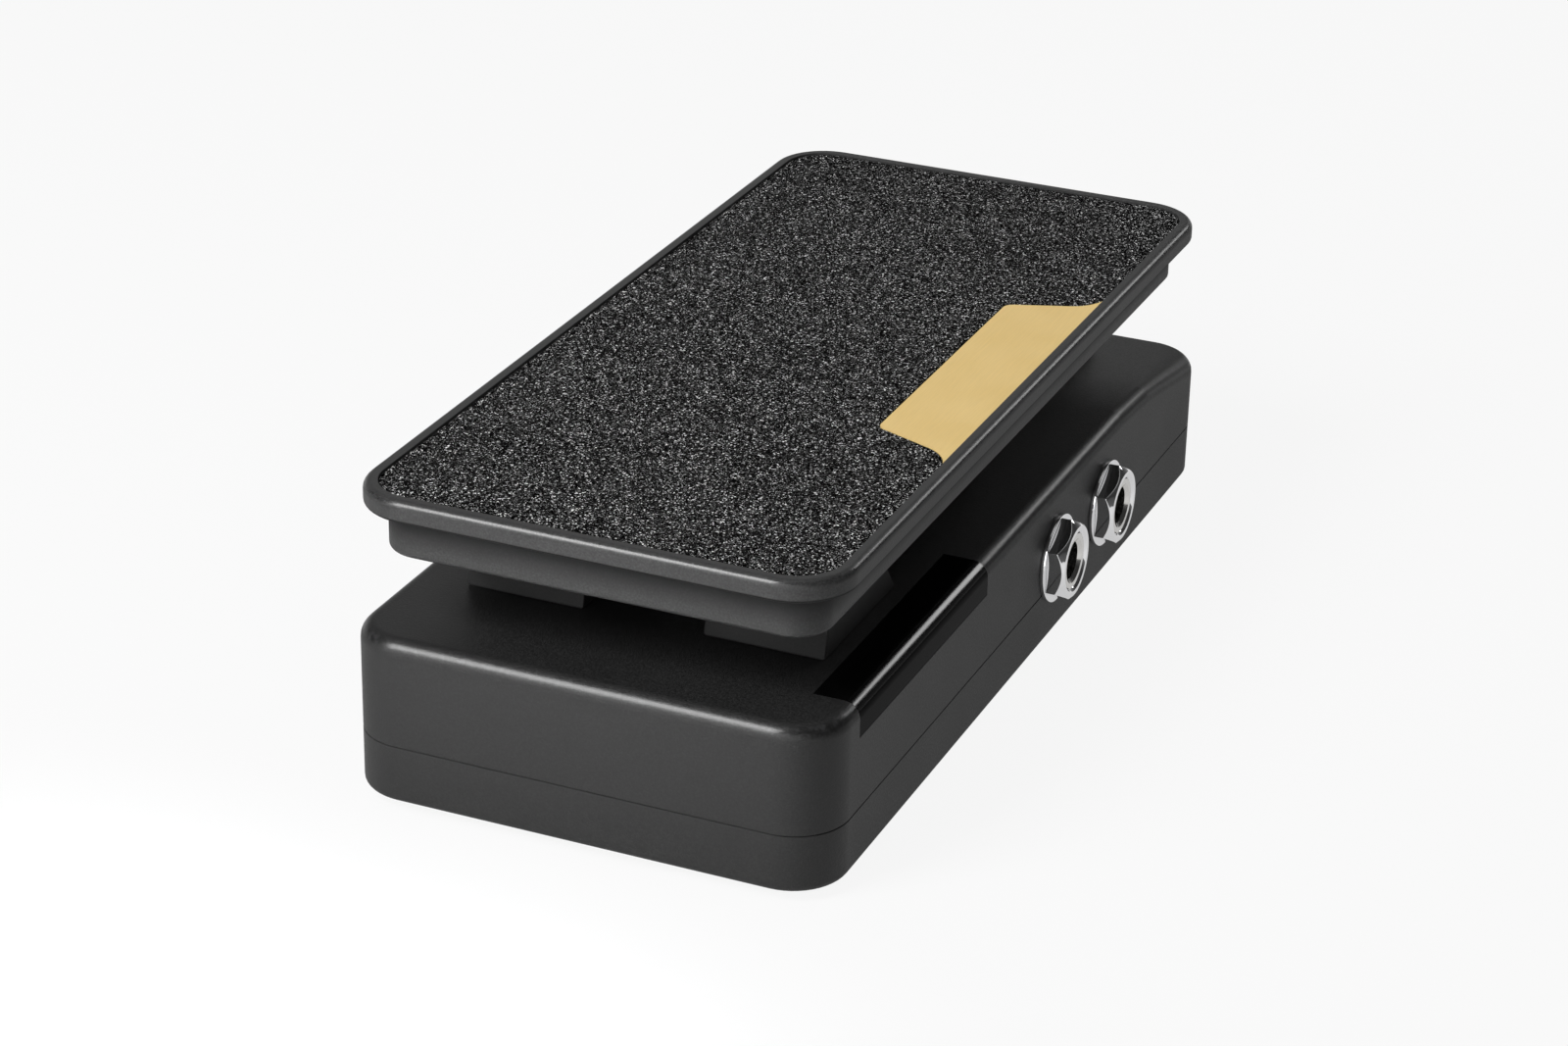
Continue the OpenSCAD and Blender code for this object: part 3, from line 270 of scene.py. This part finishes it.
def grit_material():
    """Black abrasive sheet: loose grains, most of them dark, a few painted near white as highlights."""
    material, tree, shader = new_material("grit")
    at = place(tree)
    lot = lots(tree, at, 0.15 * MM)
    # Painted highlights: a few grains painted near white, as if they caught the light
    painted_glint = spread(tree, lots(tree, at, 0.23 * MM), 0, 1, 0.955, 0.99)
    grains = ramp(tree, lot, [
        (0.0, 0.0), (0.5, 0.0), (0.66, 0.01), (0.8, 0.035), (0.9, 0.1), (0.97, 0.3), (1.0, 0.8)])
    colour = mix(tree, painted_glint, grains, (0.85, 0.85, 0.85, 1))
    lumps = noise(tree, at, 0.7 * MM, detail=3)
    relief = bump(tree, lumps, 0.04 * MM, bump(tree, lot, 0.03 * MM))
    rough = spread(tree, lot, 0.85, 0.45, 0.2, 1.0)
    links = {"Base Color": colour, "Roughness": rough, "Normal": relief}
    sockets(tree, shader, links, Specular_IOR_Level=0.0)
    return material


def socket_material():
    """Nickel barrel outside the wall, black moulded body behind it."""
    material, tree, shader = new_material("nickel")
    at = place(tree)
    reach = calculate(tree, "ABSOLUTE", axes_of(tree, at)["X"])
    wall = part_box("housing")[1].x
    barrel = spread(tree, reach, 0, 1, wall - BARREL_BLEND, wall)
    scratch = noise(tree, at, 0.12 * MM, detail=3, roughness=0.65)
    nickel = ramp(tree, scratch, [(0.3, (0.70, 0.69, 0.67)), (0.7, (0.78, 0.77, 0.75))])
    black = ramp(tree, scratch, [(0.3, 0.008), (0.7, 0.012)])
    colour = mix(tree, barrel, black, nickel)
    rough = spread(tree, barrel, 0.5, 0.14, 0, 1)
    sockets(tree, shader, {"Base Color": colour, "Metallic": barrel, "Roughness": rough})
    return material


def metal_material(name, colour, roughness, brushed=None, streak=0.0, depth=0.0, metallic=1.0):
    """Metal with fine scratches; brushed stretches them along one axis."""
    material, tree, shader = new_material(name)
    scratch = noise(tree, place(tree, brushed), 0.12 * MM, detail=3, roughness=0.65)
    smudge = noise(tree, place(tree), 7 * MM, detail=3)
    dark = tuple(c * (1 - streak) for c in colour)
    light = tuple(min(1, c * (1 + streak)) for c in colour)
    rough = spread(tree, smudge, roughness * 0.9, roughness * 1.1)
    links = {"Base Color": ramp(tree, scratch, [(0.3, dark), (0.7, light)]), "Roughness": rough}
    if depth:
        links["Normal"] = bump(tree, scratch, depth)
    sockets(tree, shader, links, Metallic=metallic)
    return material


def plastic_material(name, dark, light, roughness, grain, depth=0.0, specular=0.5):
    """Moulded plastic, rubber or resin with a soft grain."""
    material, tree, shader = new_material(name)
    at = place(tree)
    fine = noise(tree, at, grain, detail=3, roughness=0.6)
    broad = noise(tree, at, 18 * MM, detail=3)
    rough = spread(tree, broad, roughness * 0.85, roughness * 1.15)
    links = {"Base Color": ramp(tree, fine, [(0.3, dark), (0.7, light)]), "Roughness": rough}
    if depth:
        links["Normal"] = bump(tree, fine, depth)
    sockets(tree, shader, links, Specular_IOR_Level=specular)
    return material


def circuit_material():
    """Green solder mask over a grid of copper traces."""
    material, tree, shader = new_material("circuit")
    traces = add_node(tree, "ShaderNodeTexBrick", {
        "Vector": place(tree), "Scale": 1 / (4 * MM), "Mortar Size": 0.06,
        "Color1": (0.012, 0.075, 0.035, 1), "Color2": (0.016, 0.09, 0.042, 1),
        "Mortar": (0.03, 0.16, 0.07, 1)}).outputs
    relief = bump(tree, traces["Fac"], 0.02 * MM)
    sockets(tree, shader, {"Base Color": traces["Color"], "Normal": relief}, Roughness=0.35)
    return material


FINISHES = {
    "charcoal_paint": paint_material("charcoal_paint", rubbed=0.29),
    # The treadle's paint: rubbed edges, greys lightened as painted light, and painted shade under its rim
    "trodden_paint_with_painted_light": paint_material(
        "trodden_paint_with_painted_light", rubbed=0.24, painted_light_gain=2.3,
        line=UNDER_RIM, line_width=UNDER_RIM_SHADE_LINE, below=UNDER_RIM_SHADE_DEPTH),
    "grit": grit_material(),
    "gold_plate": metal_material(
        "gold_plate", (0.92, 0.66, 0.25), roughness=0.42,
        brushed=(1, 0.02, 1), streak=0.04, depth=0.0004 * MM, metallic=0.55),
    "chrome": metal_material("chrome", (0.91, 0.91, 0.92), roughness=0.07, streak=0.02),
    "nickel": socket_material(),
    "steel": metal_material(
        "steel", (0.52, 0.53, 0.54), roughness=0.30, brushed=(1, 0.04, 1), streak=0.08, depth=0.002 * MM),
    "black_steel": metal_material("black_steel", (0.05, 0.05, 0.055), roughness=0.38, streak=0.1),
    "rubber": plastic_material(
        "rubber", 0.009, 0.014, roughness=0.66, grain=0.35 * MM, depth=0.012 * MM, specular=0.35),
    "black_gloss": plastic_material(
        "black_gloss", 0.0015, 0.0025, roughness=0.08, grain=2 * MM, specular=0.01),
    "black_plastic": plastic_material(
        "black_plastic", 0.016, 0.022, roughness=0.45, grain=0.3 * MM, depth=0.008 * MM),
    "polished_edge": plastic_material("polished_edge", 0.0015, 0.0025, roughness=0.17, grain=2 * MM),
    "nylon": plastic_material("nylon", 0.70, 0.78, roughness=0.42, grain=0.5 * MM, depth=0.006 * MM),
    "led_white": plastic_material(
        "led_white", (0.72, 0.68, 0.45), (0.85, 0.82, 0.62), roughness=0.2, grain=0.4 * MM),
    "circuit": circuit_material(),
}


# Pieces

def body_of(node):
    return next(body for body, nodes in frame["record"]["behaviour"]["bodies"].items() if node in nodes)


def slot_of(node):
    return next(s["material_slot"] for s in frame["record"]["subparts"] if s["node"] == node)


def solid_of(node):
    """The node's solid as one welded mesh, with its flat faces whole."""
    mesh = bmesh.new()
    mesh.from_mesh(frame["nodes"][node].data)
    bmesh.ops.remove_doubles(mesh, verts=mesh.verts, dist=WELD)
    bmesh.ops.dissolve_limit(
        mesh, angle_limit=math.radians(FLAT_DEGREES), verts=mesh.verts, edges=mesh.edges)
    return mesh


def crisp_edges(mesh):
    return [e for e in mesh.edges if e.is_manifold and e.calc_face_angle(0) > math.radians(CRISP_DEGREES)]


def soften(mesh, edges, width):
    """Round these edges over this width."""
    bmesh.ops.bevel(
        mesh, geom=edges, offset=width, offset_type="OFFSET", segments=EDGE_STEPS, profile=0.5,
        affect="EDGES", clamp_overlap=True)


def make_piece(mesh, name, nodes):
    """A smooth piece from a mesh, which stands for these nodes and takes their body and slot."""
    for face in mesh.faces:
        face.smooth = True
    for edge in mesh.edges:
        edge.smooth = True
    for edge in crisp_edges(mesh):
        edge.smooth = False
    data = bpy.data.meshes.new(name)
    mesh.to_mesh(data)
    mesh.free()
    piece = bpy.data.objects.new(name, data)
    bpy.context.scene.collection.objects.link(piece)
    weighted = piece.modifiers.new("even_shading", "WEIGHTED_NORMAL")
    weighted.keep_sharp = True
    slot = slot_of(nodes[0])
    data.materials.append(FINISHES[slot])
    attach(piece, body_of(nodes[0]))
    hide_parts(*nodes)
    return piece


def make_shell(node):
    """A node's own solid, whose edges its source already rounds."""
    make_piece(solid_of(node), node + "_piece", [node])


def make_softened(node, width):
    """A node's own solid with its crisp edges rounded."""
    mesh = solid_of(node)
    soften(mesh, crisp_edges(mesh), width)
    make_piece(mesh, node + "_piece", [node])


def make_treadle():
    """The treadle in its paint, with painted light and painted shade under its rim, and its recess edge
    rounded.
    """
    mesh = solid_of("treadle")
    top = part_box("treadle")[1].z
    recess = [
        e for e in crisp_edges(mesh) if all(abs(v.co.z - top) < RECESS_EDGE_REACH for v in e.verts)]
    soften(mesh, recess, RECESS_EDGE)
    piece = make_piece(mesh, "treadle_piece", ["treadle"])
    piece.data.materials[0] = FINISHES["trodden_paint_with_painted_light"]


def make_window():
    """The window's dark faces, with a polished rounding between its top and its side."""
    piece = make_piece(solid_of("indicator_window"), "indicator_window_piece", ["indicator_window"])
    piece.data.materials.append(FINISHES["polished_edge"])
    polished = len(piece.data.materials) - 1
    for face in piece.data.polygons:
        if face.normal.x > ROUNDING_RIGHT and face.normal.z > ROUNDING_UP:
            face.material_index = polished


# Nodes that show and keep their solids, with the width that their crisp edges are rounded to
SOFT_EDGES = {
    "heel_stops": 0.5 * MM,
    "toe_stops": 0.5 * MM,
    "rubber_feet": 0.3 * MM,
    "badge_plate": 0.12 * MM,
    "grip_sheet": 0.1 * MM,
    "jack_washers": 0.12 * MM,
    "jack_nuts": 0.1 * MM,
    "pivot_bracket": 0.2 * MM,
}
for node in ("housing", "bottom_cover"):
    make_shell(node)
for node, width in SOFT_EDGES.items():
    make_softened(node, width)
make_treadle()
make_window()

for name, solid in frame["nodes"].items():
    solid.data.materials.clear()
    solid.data.materials.append(FINISHES[slot_of(name)])


# Stage, light and camera

def floor_material():
    """Pale matt floor that the lamps light and that, as eyes and metal see it, is evened towards white."""
    material, tree, shader = new_material("floor")
    cloud = noise(tree, place(tree), 0.8)
    links = {"Base Color": ramp(tree, cloud, [(0.3, 0.49), (0.7, 0.51)])}
    sockets(tree, shader, links, Roughness=0.9, Specular_IOR_Level=0.0)
    rays = add_node(tree, "ShaderNodeLightPath").outputs
    bounced = calculate(tree, "ADD", rays["Is Glossy Ray"], rays["Is Transmission Ray"])
    mirrored = spread(tree, bounced, 0, FLOOR_EVENED_IN_METAL, 0, 1)
    straight = spread(tree, rays["Is Camera Ray"], 0, FLOOR_EVENED, 0, 1)
    share = calculate(tree, "ADD", straight, mirrored)
    white = add_node(tree, "ShaderNodeEmission", {"Color": (1, 1, 1, 1), "Strength": 1.0})
    evened = add_node(tree, "ShaderNodeMixShader", {
        0: share, 1: shader.outputs["BSDF"], 2: white.outputs["Emission"]})
    tree.links.new(evened.outputs["Shader"], tree.nodes["Material Output"].inputs["Surface"])
    return material


def make_floor():
    data = bpy.data.meshes.new("floor")
    corners = [(x * FLOOR_HALF, y * FLOOR_HALF, 0) for x, y in ((-1, -1), (1, -1), (1, 1), (-1, 1))]
    data.from_pydata(corners, [], [(0, 1, 2, 3)])
    data.materials.append(floor_material())
    floor = bpy.data.objects.new("floor", data)
    bpy.context.scene.collection.objects.link(floor)


def make_lamp(name, at, towards, size, power, beam=180):
    """A soft rectangular lamp: places and sizes in metres, power in watts, and its beam in degrees."""
    lamp = bpy.data.lights.new(name, "AREA")
    lamp.spread = math.radians(beam)
    lamp.shape = "RECTANGLE"
    lamp.size, lamp.size_y = size
    lamp.energy = power
    holder = bpy.data.objects.new(name, lamp)
    bpy.context.scene.collection.objects.link(holder)
    holder.location = at
    holder.rotation_mode = "QUATERNION"
    holder.rotation_quaternion = (Vector(towards) - Vector(at)).to_track_quat("-Z", "Y")


def make_world():
    """A dim room with a pale glow low down at the back left."""
    world = bpy.data.worlds.new("studio")
    bpy.context.scene.world = world
    world.use_nodes = True
    tree = world.node_tree
    way = axes_of(tree, add_node(tree, "ShaderNodeTexCoord").outputs["Generated"])
    overhead = [(0.35, 0.03), (1.0, 0.06)]
    dim = ramp(tree, way["Z"], [(0.0, 0.12), *overhead])
    glow = ramp(tree, way["Z"], [(0.0, 0.65), (0.1, 0.65), *overhead])
    left = spread(tree, way["X"], 1, 0, -0.4, 0.4)
    behind = spread(tree, way["Y"], 0, 1, -0.4, 0.4)
    colour = mix(tree, calculate(tree, "MULTIPLY", left, behind), dim, glow)
    room = tree.nodes["Background"]
    tree.links.new(colour, room.inputs["Color"])
    room.inputs["Strength"].default_value = 1.0


def make_camera():
    data = bpy.data.cameras.new("camera")
    data.lens = CAMERA_LENS
    data.sensor_width = CAMERA_SENSOR
    camera = bpy.data.objects.new("camera", data)
    bpy.context.scene.collection.objects.link(camera)
    camera.matrix_world = (
        Matrix.Translation(CAMERA_PLACE)
        @ Matrix.Rotation(math.radians(CAMERA_AZIMUTH), 4, "Z")
        @ Matrix.Rotation(math.radians(90 - CAMERA_ELEVATION), 4, "X")
        @ Matrix.Rotation(math.radians(CAMERA_ROLL), 4, "Z"))
    bpy.context.scene.camera = camera


make_floor()
# A softbox at the front left draws the near edges' highlight, and a large one low in front lights the
# near faces
make_lamp("front", at=(-0.336, -0.577, 0.675), towards=(0, -0.06, 0.04), size=(0.34, 0.46), power=8.8)
make_lamp("low", at=(-0.05, -1.0, 0.30), towards=(0, -0.06, 0.03), size=(1.4, 0.8), power=7.5)
# One overhead fills in, one behind gives level faces their sheen, and a small one behind draws the lines
# on the right edges
make_lamp("over", at=(-0.10, 0.10, 1.0), towards=(0, 0, 0.03), size=(0.8, 0.8), power=0.8)
make_lamp("sheen", at=(-0.36, 0.82, 0.46), towards=(0, 0, 0.03), size=(0.5, 0.4), power=0.5)
make_lamp("back", at=(0.31, 0.80, 0.43), towards=(0.03, 0, 0.03), size=(0.24, 0.24), power=0.95)
# One shines down on the floor in front, which the near faces mirror
make_lamp(
    "floor_front", at=(-0.03, -0.20, 0.22), towards=(-0.03, -0.197, 0), size=(0.12, 0.12),
    power=0.4, beam=32)
make_world()
make_camera()
bpy.context.scene.view_settings.view_transform = "Standard"
